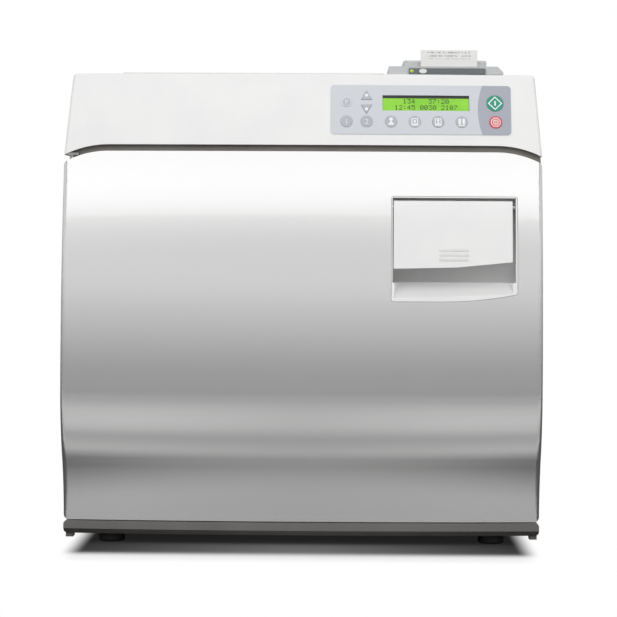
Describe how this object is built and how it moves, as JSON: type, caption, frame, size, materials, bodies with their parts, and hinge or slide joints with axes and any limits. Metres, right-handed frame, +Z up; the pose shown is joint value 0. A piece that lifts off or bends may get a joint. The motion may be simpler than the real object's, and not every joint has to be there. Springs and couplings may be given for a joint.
{
  "type": "benchtop autoclave",
  "caption": "Front-loading benchtop steam autoclave with a curved side-hinged door, lift handle, key panel with display, tray chamber and strip printer.",
  "frame": {"origin": "on the surface that the machine stands on, under the middle of its outline", "axes": "+X to the right seen from the front, +Y from the door to the back, +Z up"},
  "size_m": [0.451, 0.5259, 0.4695],
  "materials": {
    "door_silver": "pearl silver paint under clear coat",
    "fascia_white": "satin white",
    "handle_white": "satin white",
    "sill_grey": "satin grey",
    "groove_grey": "matt warm grey",
    "case_white": "fine texture white powder coat",
    "galvanised_steel": "galvanised",
    "frame_steel": "brushed stainless",
    "chamber_steel": "satin stainless",
    "heater_steel": "heat darkened",
    "zinc_steel": "zinc plated",
    "tray_aluminium": "satin anodised",
    "valve_brass": "machined",
    "copper_tube": "drawn copper",
    "relief_red": "moulded red",
    "black_rubber": "matt moulded",
    "seal_silicone": "translucent white silicone",
    "black_plastic": "moulded black",
    "breaker_white": "moulded white",
    "overlay_film": "printed film, light blue grey",
    "circuit_board": "green solder resist",
    "lcd_green": "lit green display",
    "key_grey": "printed film",
    "key_green": "printed film",
    "key_red": "printed film",
    "tank_plastic": "natural polypropylene",
    "lagging_fibre": "glass fibre blanket",
    "printer_grey": "light speckled grey",
    "bezel_grey": "dark grey",
    "button_white": "white",
    "paper_white": "thermal paper"
  },
  "bodies": {
    "cabinet": {"feet": "black_rubber", "base_pan": "galvanised_steel", "sill_trim": "sill_grey", "top_cover": "case_white", "side_panel_left": "case_white", "side_panel_right": "case_white", "rear_panel": "case_white", "rear_bumpers": "black_rubber", "front_frame": "frame_steel", "groove_strip": "groove_grey", "fascia": "fascia_white", "control_overlay": "overlay_film", "control_board": "circuit_board", "lcd_module": "lcd_green", "chamber_vessel": "chamber_steel", "insulation_blanket": "lagging_fibre", "heater_element": "heater_steel", "tray_rack": "chamber_steel", "reservoir_tank": "tank_plastic", "solenoid_valves": "valve_brass", "copper_tubes": "copper_tube", "relief_valve": "valve_brass", "fan_housing": "black_plastic", "power_inlet": "black_plastic", "case_screws": "zinc_steel", "hinge_pins": "zinc_steel", "printer_housing": "printer_grey", "printer_bezel": "bezel_grey", "paper_strip": "paper_white"},
    "door": {"door_shell": "door_silver", "door_liner": "frame_steel", "pressure_plate": "chamber_steel", "door_gasket": "seal_silicone", "door_strongback": "frame_steel", "handle_pocket": "handle_white"},
    "handle": {"door_handle": "handle_white", "handle_shaft": "zinc_steel"},
    "latch": {"latch_bar": "zinc_steel"},
    "fill_lid": {"fill_lid": "case_white"},
    "fan_rotor": {"fan_rotor": "black_plastic"},
    "relief_knob": {"relief_knob": "relief_red"},
    "breaker_button": {"breaker_button": "breaker_white"},
    "printer_cover": {"printer_cover": "printer_grey"},
    "feed_button": {"feed_button": "button_white"},
    "platen_roller": {"platen_roller": "black_rubber"},
    "paper_roll": {"paper_roll": "paper_white"},
    "tray_1": {"tray_1": "tray_aluminium"},
    "tray_2": {"tray_2": "tray_aluminium"},
    "tray_3": {"tray_3": "tray_aluminium"},
    "key_program": {"key_program": "key_grey"},
    "key_one": {"key_one": "key_grey"},
    "key_two": {"key_two": "key_grey"},
    "key_wrapped": {"key_wrapped": "key_grey"},
    "key_packs": {"key_packs": "key_grey"},
    "key_liquids": {"key_liquids": "key_grey"},
    "key_drying": {"key_drying": "key_grey"},
    "key_start": {"key_start": "key_green"},
    "key_stop": {"key_stop": "key_red"},
    "key_up": {"key_up": "key_grey"},
    "key_down": {"key_down": "key_grey"}
  },
  "joints": [
    {"name": "door_hinge", "type": "hinge", "parent": "cabinet", "child": "door", "pos_m": [-0.2185, -0.2185, 0.2], "axis": [0, 0, -1], "range_deg": [0, 110]},
    {"name": "handle_pivot", "type": "hinge", "parent": "door", "child": "handle", "pos_m": [0.141, -0.23415, 0.319], "axis": [-0.9986, -0.0522, 0], "range_deg": [0, 40]},
    {"name": "latch_slide", "type": "slide", "parent": "door", "child": "latch", "axis": [0, 0, -1], "range_m": [0, 0.0118]},
    {"name": "fill_lid_hinge", "type": "hinge", "parent": "cabinet", "child": "fill_lid", "pos_m": [-0.0485, -0.0588, 0.4474], "axis": [-1, 0, 0], "range_deg": [0, 100]},
    {"name": "fan_spin", "type": "hinge", "parent": "cabinet", "child": "fan_rotor", "pos_m": [0.172, 0.24, 0.398], "axis": [0, 1, 0], "continuous": true},
    {"name": "relief_pull", "type": "slide", "parent": "cabinet", "child": "relief_knob", "axis": [0, 1, 0], "range_m": [0, 0.004], "stiffness_N_per_m": 800},
    {"name": "breaker_press", "type": "slide", "parent": "cabinet", "child": "breaker_button", "axis": [0, -1, 0], "range_m": [0, 0.002], "stiffness_N_per_m": 800},
    {"name": "printer_cover_hinge", "type": "hinge", "parent": "cabinet", "child": "printer_cover", "pos_m": [0.13475, -0.109, 0.4553], "axis": [-1, 0, 0], "range_deg": [0, 85]},
    {"name": "feed_button_press", "type": "slide", "parent": "cabinet", "child": "feed_button", "axis": [0, 1, 0], "range_m": [0, 0.0005], "stiffness_N_per_m": 400},
    {"name": "platen_spin", "type": "hinge", "parent": "cabinet", "child": "platen_roller", "pos_m": [0.1385, -0.1815, 0.4525], "axis": [1, 0, 0], "continuous": true},
    {"name": "paper_roll_spin", "type": "hinge", "parent": "cabinet", "child": "paper_roll", "pos_m": [0.1385, -0.144, 0.428], "axis": [1, 0, 0], "continuous": true},
    {"name": "tray_1_slide", "type": "slide", "parent": "cabinet", "child": "tray_1", "axis": [0, -1, 0], "range_m": [0, 0.008]},
    {"name": "tray_2_slide", "type": "slide", "parent": "cabinet", "child": "tray_2", "axis": [0, -1, 0], "range_m": [0, 0.008]},
    {"name": "tray_3_slide", "type": "slide", "parent": "cabinet", "child": "tray_3", "axis": [0, -1, 0], "range_m": [0, 0.008]},
    {"name": "key_program_press", "type": "slide", "parent": "cabinet", "child": "key_program", "axis": [-0.0147, 0.95, -0.3118], "range_m": [0, 0.0005], "stiffness_N_per_m": 400},
    {"name": "key_one_press", "type": "slide", "parent": "cabinet", "child": "key_one", "axis": [-0.0148, 0.9587, -0.2839], "range_m": [0, 0.0005], "stiffness_N_per_m": 400},
    {"name": "key_two_press", "type": "slide", "parent": "cabinet", "child": "key_two", "axis": [-0.0216, 0.9586, -0.2839], "range_m": [0, 0.0005], "stiffness_N_per_m": 400},
    {"name": "key_wrapped_press", "type": "slide", "parent": "cabinet", "child": "key_wrapped", "axis": [-0.0299, 0.9584, -0.2839], "range_m": [0, 0.0005], "stiffness_N_per_m": 400},
    {"name": "key_packs_press", "type": "slide", "parent": "cabinet", "child": "key_packs", "axis": [-0.0379, 0.9581, -0.2839], "range_m": [0, 0.0005], "stiffness_N_per_m": 400},
    {"name": "key_liquids_press", "type": "slide", "parent": "cabinet", "child": "key_liquids", "axis": [-0.0459, 0.9578, -0.2839], "range_m": [0, 0.0005], "stiffness_N_per_m": 400},
    {"name": "key_drying_press", "type": "slide", "parent": "cabinet", "child": "key_drying", "axis": [-0.0539, 0.9573, -0.2839], "range_m": [0, 0.0005], "stiffness_N_per_m": 400},
    {"name": "key_start_press", "type": "slide", "parent": "cabinet", "child": "key_start", "axis": [-0.0649, 0.9482, -0.3109], "range_m": [0, 0.0005], "stiffness_N_per_m": 400},
    {"name": "key_stop_press", "type": "slide", "parent": "cabinet", "child": "key_stop", "axis": [-0.0655, 0.9566, -0.2839], "range_m": [0, 0.0005], "stiffness_N_per_m": 400},
    {"name": "key_up_press", "type": "slide", "parent": "cabinet", "child": "key_up", "axis": [-0.0214, 0.9474, -0.3193], "range_m": [0, 0.0005], "stiffness_N_per_m": 400},
    {"name": "key_down_press", "type": "slide", "parent": "cabinet", "child": "key_down", "axis": [-0.0214, 0.9526, -0.3035], "range_m": [0, 0.0005], "stiffness_N_per_m": 400}
  ],
  "couplings": [
    {"joint": "latch_slide", "follows": "handle_pivot", "m_per_rad": 0.01657}
  ]
}
